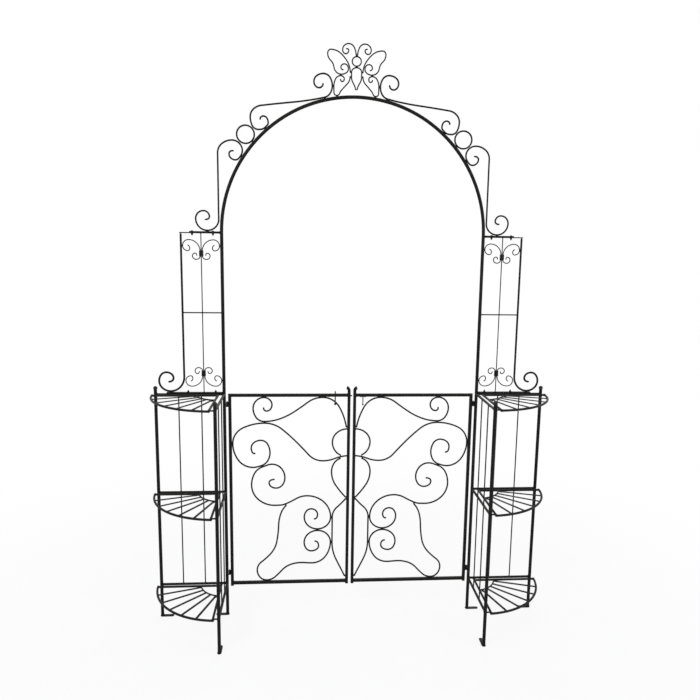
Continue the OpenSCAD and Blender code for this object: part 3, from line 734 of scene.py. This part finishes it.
# %% Dress the beads beside the open leaf
arch_plane = float(sum(corner.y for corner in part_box("arch_hoop")) / 2)
hinge_axis = float(sum(corner.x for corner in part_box("right_hinge_eyes"))) / 2
LEAF_SIDE, TAB_SIDE = hinge_axis + 6.15 * MM, 4.1 * MM
POST_REACH, LEAF_FOOT, EYE_REACH = 30 * MM, 100 * MM, 6 * MM
dressed_corners = 0
for solid, bead in beads:
    if solid.module != "stand" or abs(bead.data.vertices[0].co.y - arch_plane) > POST_REACH:
        continue
    for vertex in bead.data.vertices:
        inward = LEAF_SIDE - abs(vertex.co.x)
        sideways = abs(vertex.co.y - arch_plane) - TAB_SIDE
        if vertex.co.z > LEAF_FOOT and inward > 0 and sideways > 0:
            if inward < sideways:
                vertex.co.x = math.copysign(LEAF_SIDE, vertex.co.x)
            else:
                vertex.co.y = arch_plane + math.copysign(TAB_SIDE, vertex.co.y - arch_plane)
            dressed_corners += 1
eye_spans = [(low.z, high.z) for low, high in solid_boxes("right_hinge_eyes")]
for solid, bead in beads:
    first = bead.data.vertices[0].co.copy()
    if not solid.module.endswith("leaf") or abs(abs(first.x) - hinge_axis) > EYE_REACH:
        continue
    low, high = min(eye_spans, key=lambda span: abs(sum(span) / 2 - first.z))
    for vertex in bead.data.vertices:
        dressed_corners += not low <= vertex.co.z <= high
        vertex.co.z = min(max(vertex.co.z, low), high)
print("the arch stands at y =", round(arch_plane, 5), "and", dressed_corners, "corners were dressed")

# %% [markdown]
# The beads are joined into one piece for each module and side, which rides on the module's body.

# %% Join the beads
def bead_group(solid, bead):
    if solid.module.endswith("leaf"):
        return solid.module + "_welds", body_of_node[solid.node]
    side = "right" if bead.data.vertices[0].co.x > 0 else "left"
    return (side + "_" if solid.module != "arch" else "") + solid.module + "_welds", "frame"


groups = {}
for solid, bead in beads:
    groups.setdefault(bead_group(solid, bead), []).append(bead)
for (name, body), members in sorted(groups.items()):
    welds = smooth_by_angle(join(name, members), 60)
    hand_over(welds, body, "black_coat", bead_coat)
    print(name, len(members), "beads,", len(welds.data.polygons), "faces")

# %% [markdown]
# ## Gate frames of square tube
#
# Box section tube is rolled from strip, so its corners are round, with a radius of about one and
# a half walls. The gate frames are modelled again with that radius. Each upright starts as a
# cube. Its long edges are beveled, its foot is inset and pushed in to show the wall, and the top
# of the meeting stile is spun round to make the tip that keeps sleeves from catching.

# %% One length of square tube
CORNER = 1.7 * MM
WALL = 1.2 * MM
TIP_RADIUS, TIP_TURN = 14 * MM, 70


def runs_along(thing, axis):
    """A test for the edges of a piece that run along an axis: 0 for X, 1 for Y, 2 for Z."""
    def test(edge):
        first, second = (thing.data.vertices[v].co for v in edge.vertices)
        run = [abs(a - b) for a, b in zip(first, second)]
        return run[axis] > 0.9 * sum(run)
    return test


def square_tube(low, high, axis):
    """A solid bar between two corners of its box, its four long edges rounded."""
    clear_selection()
    bpy.ops.mesh.primitive_cube_add(size=1, location=(low + high) / 2, scale=high - low)
    square = settle(bpy.context.active_object)
    select_where(square, "edges", runs_along(square, axis))
    bpy.ops.mesh.bevel(offset=CORNER, segments=4, affect="EDGES")
    bpy.ops.object.mode_set(mode="OBJECT")
    return square


def open_foot(tube, depth=26 * MM):
    """Insets the lowest face by the wall and pushes it in."""
    lowest = min(v.co.z for v in tube.data.vertices)
    pick(tube)
    select_where(tube, "faces", lambda f: f.normal.z < -0.9 and abs(f.center.z - lowest) < 0.1 * MM)
    bpy.ops.mesh.inset(thickness=WALL, depth=0)
    bpy.ops.mesh.extrude_region_move(TRANSFORM_OT_translate={"value": (0, 0, depth)})
    bpy.ops.object.mode_set(mode="OBJECT")


def curl_tip(tube, top, centre_x, turn):
    """Spins the top face round a line along Y, which bends the end of the tube sideways."""
    pick(tube)
    select_where(tube, "faces", lambda f: f.normal.z > 0.9 and abs(f.center.z - top) < 0.1 * MM)
    bpy.ops.mesh.spin(
        steps=12, angle=-math.radians(turn), center=(centre_x, arch_plane, top), axis=(0, 1, 0)
    )
    bpy.ops.object.mode_set(mode="OBJECT")


print("tools for square tube ready")

# %% Stiles and rails of the right leaf, then the left leaf in the mirror
meeting, hinge = solid_boxes("right_gate_stiles")[0], solid_boxes("right_gate_stiles")[-1]
half = (meeting[1].y - meeting[0].y) / 2
tip_start = meeting[1].z - (TIP_RADIUS + half) * math.sin(math.radians(TIP_TURN))
bent = square_tube(meeting[0], Vector((meeting[0].x + 2 * half, meeting[1].y, tip_start)), 2)
curl_tip(bent, tip_start, meeting[0].x + half + TIP_RADIUS, TIP_TURN)
open_foot(bent)
straight = square_tube(*hinge, 2)
open_foot(straight)
rails = [square_tube(*box, 0) for box in solid_boxes("right_gate_rails")]
apply_modifier(
    straight, "BEVEL", width=0.5 * MM, segments=2, limit_method="ANGLE",
    angle_limit=math.radians(60),
)

right_stiles = join("right_gate_stile_tubes", [outward(bent), outward(straight)])
right_rails = join("right_gate_rail_tubes", [outward(rail) for rail in rails])
for tubes in (right_stiles, right_rails):
    smooth_by_angle(tubes, 40)
left_stiles = smooth_by_angle(mirrored("left_gate_stile_tubes", right_stiles), 40)
left_rails = smooth_by_angle(mirrored("left_gate_rail_tubes", right_rails), 40)
for tubes, node in (
    (right_stiles, "right_gate_stiles"),
    (right_rails, "right_gate_rails"),
    (left_stiles, "left_gate_stiles"),
    (left_rails, "left_gate_rails"),
):
    hand_over(tubes, body_of_node[node], "black_coat", tube_coat, node)
    print(tubes.name, len(tubes.data.polygons), "faces")

# %% [markdown]
# A rail of square tube is welded flush on its front and back and filled in its two corners. Where
# the hinge stile ends level with the top rail the weld is flush there too. A run is a row of
# overlapping lumps, one for each stop of the welder.

# %% Beads where rails meet stiles
def lay_run(start, stop, across, width, height, step=1.7 * MM):
    """Overlapping lumps from start to stop, joined later with the other beads."""
    steps = max(2, round((stop - start).length / step))
    along = (stop - start) / steps
    return [
        lay_lump(start + along * (i + 0.5), along, across, 0.95 * along.length, width, height)
        for i in range(steps)
    ]


FLUSH_RUN = (1.6 * MM, 0.45 * MM)
CORNER_RUN = (1.3 * MM, 1.6 * MM)
right_beads = []
for low, high in solid_boxes("right_gate_rails"):
    for x in (low.x - 0.1 * MM, high.x + 0.1 * MM):
        for side in (-1, 1):
            y = arch_plane + side * half
            flush = [Vector((x, y, z)) for z in (low.z + CORNER, high.z - CORNER)]
            right_beads += lay_run(*flush, Vector((1, 0, 0)), *FLUSH_RUN)
            inside = 1 if x < (low.x + high.x) / 2 else -1
            z = high.z if side > 0 else low.z
            if inside < 0 and side > 0 and z > hinge[1].z - 0.5 * MM:
                level = [Vector((x, y, z)) for y in (low.y + CORNER, high.y - CORNER)]
                right_beads += lay_run(*level, Vector((1, 0, 0)), *FLUSH_RUN)
                continue
            inner_x = x + inside * 0.3 * MM
            corner = [Vector((inner_x, y, z)) for y in (low.y + CORNER, high.y - CORNER)]
            right_beads += lay_run(*corner, Vector((inside, 0, side)), *CORNER_RUN)
right_runs = join("right_leaf_corner_welds", right_beads)
left_runs = smooth_by_angle(mirrored("left_leaf_corner_welds", right_runs), 60)
smooth_by_angle(right_runs, 60)
hand_over(right_runs, "right_leaf", "black_coat", bead_coat)
hand_over(left_runs, "left_leaf", "black_coat", bead_coat)
print(len(right_runs.data.polygons), "faces of weld at the corners of a leaf")
for lump in lumps:
    bpy.data.objects.remove(lump)

# %% [markdown]
# ## Sheared and sawn edges
#
# Flat bar and strip have small rounded edges from the mill, and a cut end loses its burr in the
# tumbler. The flat pieces are therefore taken over as copies whose sharp edges are broken. The
# copy is merged first, its coplanar triangles are dissolved into whole faces, and a bevel by
# angle then finds just the real edges.

# %% Break the edges of flat pieces
def soften(name, width):
    """A copy of a CAD node with its sharp edges rounded by a width."""
    clear_selection()
    twin = nodes[name].copy()
    twin.data = nodes[name].data.copy()
    bpy.context.scene.collection.objects.link(twin)
    twin.name = name + "_dressed"
    outward(twin)
    bpy.ops.object.mode_set(mode="EDIT")
    bpy.ops.mesh.select_all(action="SELECT")
    bpy.ops.mesh.dissolve_limited(angle_limit=math.radians(1.5))
    bpy.ops.object.mode_set(mode="OBJECT")
    apply_modifier(
        twin, "BEVEL", width=width, segments=2, limit_method="ANGLE", angle_limit=math.radians(38)
    )
    smooth_by_angle(twin, 40)
    return twin


EDGE_WIDTHS = {
    "foot_tabs": 0.7 * MM,
    "bracket_foot_bars": 0.6 * MM,
    "wing_bars": 0.6 * MM,
    "wing_collars": 0.5 * MM,
    "latch_guides": 0.4 * MM,
    "latch_keeper": 0.4 * MM,
    "hinge_eyes": 0.5 * MM,
    "hinge_pins": 0.5 * MM,
    "bottom_shelf": 0.7 * MM,
    "middle_shelf": 0.7 * MM,
    "top_shelf": 0.7 * MM,
}
flat_pieces = [(name, word) for word in EDGE_WIDTHS for name in nodes if name.endswith(word)]
for name, word in flat_pieces:
    dressed = soften(name, EDGE_WIDTHS[word])
    slot = slot_of[name]
    hand_over(dressed, body_of_node[name], slot, finish_of_slot[slot], name)
    print(dressed.name, len(dressed.data.polygons), "faces")

# %% [markdown]
# ## Bolts with domed heads
#
# Eight bolts hold the arch, the wings and the stands together. The upper four have their heads on
# top, and the lower four underneath. A head is a short cylinder whose free edge is beveled almost
# to the middle, which makes the dome, and a thin collar under it bears on the bar. The shank runs
# to the nut, with its end chamfered.

# %% Model one bolt and set eight
def place_on(box, head_up):
    """Where a template that stands on z = 0 goes: on the box's axis, upside down if asked."""
    low, high = box
    spot = Vector(((low.x + high.x) / 2, (low.y + high.y) / 2, high.z if head_up else low.z))
    flip = Matrix.Rotation(math.pi, 4, "X") if head_up else Matrix.Identity(4)
    return Matrix.Translation(spot) @ flip


def cylinder(radius, low, high, steps=32):
    """A cylinder on the Z axis between two heights."""
    clear_selection()
    bpy.ops.mesh.primitive_cylinder_add(
        vertices=steps, radius=radius, depth=high - low, location=(0, 0, (low + high) / 2)
    )
    return settle(bpy.context.active_object)


def bevel_rim(thing, z, offset, steps):
    """Rounds the rim of a cylinder at one height."""
    pick(thing)
    select_where(
        thing, "faces", lambda f: abs(f.normal.z) > 0.9 and abs(f.center.z - z) < 0.01 * MM
    )
    bpy.ops.mesh.region_to_loop()
    bpy.ops.mesh.bevel(offset=offset, segments=steps, affect="EDGES")
    bpy.ops.object.mode_set(mode="OBJECT")
    return thing


bolt_boxes = solid_boxes("joining_bolts")
HEAD_R = float(bolt_boxes[0][1].x - bolt_boxes[0][0].x) / 2
SHANK_R = HEAD_R / 1.9
HEAD_H, DOME_H = 2.4 * MM, 1.9 * MM
UPPER_BOLTS = 1.3
sets = []
for upper in (True, False):
    boxes = [box for box in bolt_boxes if (box[0].z > UPPER_BOLTS) == upper]
    length = float(boxes[0][1].z - boxes[0][0].z)
    head = bevel_rim(cylinder(HEAD_R, 0, DOME_H), 0, 0.80 * DOME_H, 6)
    bearing = cylinder(0.97 * HEAD_R, DOME_H - 0.1 * MM, HEAD_H)
    bevel_rim(bearing, HEAD_H, 0.15 * MM, 2)
    shank = bevel_rim(cylinder(SHANK_R, HEAD_H - 0.2 * MM, length), length, 0.7 * MM, 2)
    bolt = join("bolt", [head, bearing, shank])
    sets.append(copies_at("bolt_set", bolt, [place_on(box, upper) for box in boxes]))
    bpy.data.objects.remove(bolt)
bolts = smooth_by_angle(join("joining_bolts_domed", sets), 35)
hand_over(bolts, "frame", "black_hardware", plated, "joining_bolts")
print("eight bolts, head", round(HEAD_R * 2000, 1), "mm across,", len(bolts.data.polygons), "faces")

# %% [markdown]
# ## Pointed cap nuts
#
# The nuts end in a cone so that the cut thread of the bolt is out of reach. The hexagon is turned
# down at its corners, as nuts are, by a bevel on the rim of each end, and the cone rises from a
# round shoulder.

# %% Model one nut and set eight
nut_boxes = solid_boxes("joining_nuts")
nut_size = nut_boxes[0][1] - nut_boxes[0][0]
HEX_R = float(max(nut_size.x, nut_size.y)) / 2
NUT_LENGTH = float(nut_size.z)
NUT_H = 4.0 * MM
hexagon = cylinder(HEX_R, 0, NUT_H, 6)
hexagon.data.transform(Matrix.Rotation(math.radians(30), 4, "Z"))
for z in (0, NUT_H):
    bevel_rim(hexagon, z, 0.55 * MM, 2)
apply_modifier(
    hexagon, "BEVEL", width=0.25 * MM, segments=2, limit_method="ANGLE",
    angle_limit=math.radians(45),
)
cone_low = NUT_H - 0.4 * MM
clear_selection()
bpy.ops.mesh.primitive_cone_add(
    vertices=32, radius1=1.4 * SHANK_R, radius2=0.4 * SHANK_R, depth=NUT_LENGTH - cone_low,
    location=(0, 0, (NUT_LENGTH + cone_low) / 2),
)
cone = bevel_rim(settle(bpy.context.active_object), NUT_LENGTH, 0.3 * MM, 3)
shoulder_high = NUT_H + 0.5 * MM
shoulder = cylinder(1.62 * SHANK_R, NUT_H - 0.3 * MM, shoulder_high)
bevel_rim(shoulder, shoulder_high, 0.3 * MM, 3)
nut = join("nut", [hexagon, shoulder, cone])
places = [place_on(box, box[1].z > UPPER_BOLTS) for box in nut_boxes]
nuts = smooth_by_angle(copies_at("joining_nuts_pointed", nut, places), 35)
bpy.data.objects.remove(nut)
hand_over(nuts, "frame", "black_hardware", plated, "joining_nuts")
print("eight nuts", round(HEX_R * 2000, 1), "mm over corners,", len(nuts.data.polygons), "faces")

# %% [markdown]
# ## Ball caps
#
# Each leg of the stands ends in a pressed-in plastic ball. It has a short skirt on the rim of the
# tube, a plug inside it, and the thin line where the two halves of the mould met. The underside
# of the ball is flattened to sit on the skirt.

# %% Model one cap and set four
cap_boxes = solid_boxes("leg_caps")
BALL_R = float(cap_boxes[0][1].x - cap_boxes[0][0].x) / 2
MOULD_LINE_R = 0.15 * MM
BELOW_MOULD_LINE = 0.988
FLAT_UNDERSIDE = 1.6 * MM
SKIRT_R, SKIRT_H = 6.9 * MM, 2.2 * MM
PLUG_R, PLUG_LENGTH = 4.6 * MM, 12 * MM
ball_low = float(cap_boxes[0][0].z) + PLUG_LENGTH
ball_middle = float(cap_boxes[0][1].z) - BALL_R - ball_low
clear_selection()
bpy.ops.mesh.primitive_uv_sphere_add(
    segments=40, ring_count=24, radius=BALL_R, location=(0, 0, ball_middle)
)
ball = settle(bpy.context.active_object)
ball.data.transform(Matrix.Diagonal((BELOW_MOULD_LINE, BELOW_MOULD_LINE, 1, 1)))
for vertex in ball.data.vertices:
    vertex.co.z = max(vertex.co.z, FLAT_UNDERSIDE)
clear_selection()
bpy.ops.mesh.primitive_torus_add(
    major_segments=80, minor_segments=8, major_radius=BALL_R - MOULD_LINE_R,
    minor_radius=MOULD_LINE_R, location=(0, 0, ball_middle),
)
mould_line = settle(bpy.context.active_object)
skirt = bevel_rim(cylinder(SKIRT_R, 0, SKIRT_H), SKIRT_H, 0.7 * MM, 3)
bevel_rim(skirt, 0, 0.3 * MM, 2)
plug = bevel_rim(cylinder(PLUG_R, -PLUG_LENGTH, 0.5 * MM), -PLUG_LENGTH, 0.8 * MM, 2)
cap = join("cap", [ball, mould_line, skirt, plug])
places = [
    Matrix.Translation(((low.x + high.x) / 2, (low.y + high.y) / 2, ball_low))
    for low, high in cap_boxes
]
caps = smooth_by_angle(copies_at("leg_caps_moulded", cap, places), 40)
bpy.data.objects.remove(cap)
hand_over(caps, "frame", "cap_plastic", plastic, "leg_caps")
print("four caps", round(BALL_R * 2000, 1), "mm across,", len(caps.data.polygons), "faces")

# %% [markdown]
# ## Latch bolt
#
# The latch is a plain rod that slides along X behind the leaves. Both ends are turned to a blunt
# point, so that the bolt finds the keeper. Its handle is a thinner rod welded across it, with a
# rounded top, and at the bottom a ball to pull on under a small collar.

# %% Turn the rod, weld on the handle
latch_low, latch_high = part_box("latch_bolt")
ROD_R, HANDLE_R, HANDLE_BALL_R = 3.0 * MM, 2.5 * MM, 4.5 * MM
HANDLE_UP, HANDLE_LENGTH = 19 * MM, 54 * MM
COLLAR_R, COLLAR_LOW, COLLAR_HIGH = 3.4 * MM, 3.4 * MM, 5.4 * MM
rod_y = float(latch_low.y + latch_high.y) / 2
handle_top = float(latch_high.z)
handle_bottom = handle_top - HANDLE_LENGTH
corners = np.array([v.co for v in nodes["latch_bolt"].data.vertices])
handle_x = float(corners[np.abs(corners[:, 2] - handle_top) < 0.1 * MM][:, 0].mean())
on_handle = Matrix.Translation((handle_x, rod_y, 0))
rod_length = float(latch_high.x - latch_low.x)
rod = bevel_rim(cylinder(ROD_R, 0, rod_length, 40), 0, 1.1 * MM, 3)
bevel_rim(rod, rod_length, 1.1 * MM, 3)
rod_start = Matrix.Translation((latch_low.x, rod_y, handle_top - HANDLE_UP))
rod.data.transform(rod_start @ Matrix.Rotation(math.pi / 2, 4, "Y"))
handle = cylinder(HANDLE_R, handle_bottom, handle_top, 40)
bevel_rim(handle, handle_top, 1.6 * MM, 5)
handle.data.transform(on_handle)
clear_selection()
bpy.ops.mesh.primitive_uv_sphere_add(
    segments=36, ring_count=20, radius=HANDLE_BALL_R, location=(handle_x, rod_y, handle_bottom)
)
pull = settle(bpy.context.active_object)
collar = cylinder(COLLAR_R, handle_bottom + COLLAR_LOW, handle_bottom + COLLAR_HIGH)
bevel_rim(collar, handle_bottom + COLLAR_HIGH, 0.5 * MM, 2)
collar.data.transform(on_handle)
latch = smooth_by_angle(join("latch_bolt_turned", [rod, handle, pull, collar]), 35)
hand_over(latch, "latch", "black_hardware", slid, "latch_bolt")
print("latch bolt", round(rod_length * 1000), "mm long,", len(latch.data.polygons), "faces")

# %% [markdown]
# ## Floor
#
# The arch stands on a plain pale floor. To the camera the floor is partly its own white, mixed
# with its lit surface, which keeps the soft shadow round the feet. Further out the white takes
# over, so that the floor meets the white background with no line.

# %% Pale floor
FLOOR_SIZE, FLOOR_CENTRE_Y, FLOOR_DROP = 24, 4, 0.5 * MM
FLOOR_GLOW = 0.86
GLOW_START, GLOW_FULL = 0.9, 2.6


def floor_finish():
    floor = Finish("pale_floor")
    grain = floor.spread(floor.noise(6, 6), 0.3, 0.7)
    floor.set(
        Base_Color=floor.blend(grain, grey(0.86), grey(0.90)), Roughness=0.9, Specular_IOR_Level=0.1
    )
    glow = floor.add("ShaderNodeEmission", {"Color": (1, 1, 1, 1), "Strength": 1.0})
    rays = floor.add("ShaderNodeLightPath")
    length = floor.add("ShaderNodeVectorMath", {0: floor.place}, operation="LENGTH")
    glow_share = floor.spread(length.outputs["Value"], GLOW_START, GLOW_FULL, FLOOR_GLOW, 1.0)
    seen = floor.times(rays.outputs["Is Camera Ray"], glow_share)
    mix = floor.add(
        "ShaderNodeMixShader", {0: seen, 1: floor.shader.outputs[0], 2: glow.outputs[0]}
    )
    floor.put(floor.tree.nodes["Material Output"].inputs["Surface"], mix.outputs[0])
    return floor.material


clear_selection()
bpy.ops.mesh.primitive_plane_add(size=FLOOR_SIZE, location=(0, FLOOR_CENTRE_Y, -FLOOR_DROP))
floor = bpy.context.active_object
floor.name = "floor"
bpy.ops.object.mode_set(mode="EDIT")
bpy.ops.mesh.subdivide(number_cuts=3)
bpy.ops.object.mode_set(mode="OBJECT")
settle(floor)
floor.data.materials.append(floor_finish())
print("floor", floor.dimensions[0], "m wide")

# %% [markdown]
# ## Light
#
# Black steel shows only what it mirrors. Two wide soft lamps stand in front, one to each side,
# and draw a thin streak down every tube. A weaker one from behind and above parts the far
# wires from the near ones. The world is an even pale grey that lights everything plainly, and
# is white where the camera or a reflection looks at it.

# %% Soft lamps and a white surrounding
def soft_lamp(name, place, aim, width, watts):
    clear_selection()
    turn = (Vector(aim) - Vector(place)).to_track_quat("-Z", "Y").to_euler()
    bpy.ops.object.light_add(type="AREA", location=place, rotation=turn)
    lamp = bpy.context.active_object
    lamp.name = name
    lamp.data.shape = "DISK"
    lamp.data.size = width
    lamp.data.energy = watts


middle = (0, 0.1, 1.1)
soft_lamp("key_lamp", (-2.6, -3.4, 3.6), middle, 2.2, 95)
soft_lamp("fill_lamp", (3.2, -2.6, 2.2), middle, 2.6, 45)
soft_lamp("back_lamp", (1.0, 3.6, 3.4), middle, 2.4, 40)

PALE, PALE_STRENGTH = (0.97, 0.98, 1.0, 1), 0.55
WHITE, WHITE_STRENGTH = (1, 1, 1, 1), 1.0
world = bpy.data.worlds.new("pale_surrounding")
world.use_nodes = True
bpy.context.scene.world = world
tree = world.node_tree
pale = tree.nodes["Background"]
white = tree.nodes.new("ShaderNodeBackground")
for sky, colour, strength in ((pale, PALE, PALE_STRENGTH), (white, WHITE, WHITE_STRENGTH)):
    sky.inputs["Color"].default_value = colour
    sky.inputs["Strength"].default_value = strength
rays = tree.nodes.new("ShaderNodeLightPath")
seen = rays.outputs["Is Camera Ray"]
for kind in ("Is Transmission Ray", "Is Glossy Ray"):
    either = tree.nodes.new("ShaderNodeMath")
    either.operation = "MAXIMUM"
    tree.links.new(seen, either.inputs[0])
    tree.links.new(rays.outputs[kind], either.inputs[1])
    seen = either.outputs[0]
world_mix = tree.nodes.new("ShaderNodeMixShader")
for number, value in enumerate((seen, pale.outputs[0], white.outputs[0])):
    tree.links.new(value, world_mix.inputs[number])
tree.links.new(world_mix.outputs[0], tree.nodes["World Output"].inputs["Surface"])
bpy.context.scene.view_settings.view_transform = "Standard"
print("three lamps and a white surrounding")

# %% [markdown]
# ## Camera
#
# The camera stands about two and a half metres in front, a little left of the middle, at eye
# height. It looks slightly to the right and down, so both plant stands show their left sides.

# %% Camera
EYE = Vector((-0.1910, arch_plane - 2.5545, 1.5237))
YAW, PITCH, ROLL = 0.0706, 0.1535, 0.014
IMAGE_WIDTH, FOCAL_PIXELS = 700, 647.7258
SENSOR_WIDTH = 36

ahead = Vector((math.sin(YAW), math.cos(YAW), 0))
level_right = Vector((math.cos(YAW), -math.sin(YAW), 0))
sight = math.cos(PITCH) * ahead - math.sin(PITCH) * Vector((0, 0, 1))
level_up = math.sin(PITCH) * ahead + math.cos(PITCH) * Vector((0, 0, 1))
right = math.cos(ROLL) * level_right + math.sin(ROLL) * level_up
up = math.cos(ROLL) * level_up - math.sin(ROLL) * level_right
pose = Matrix((right, up, -sight)).transposed().to_4x4()
pose.translation = EYE

clear_selection()
bpy.ops.object.camera_add()
camera = bpy.context.active_object
camera.name = "eye_level_camera"
camera.matrix_world = pose
camera.data.sensor_width = SENSOR_WIDTH
camera.data.lens = FOCAL_PIXELS / IMAGE_WIDTH * SENSOR_WIDTH
camera.data.dof.use_dof = False
bpy.context.scene.camera = camera
print("camera", round((EYE - Vector(middle)).length, 2), "m from the middle of the arch")
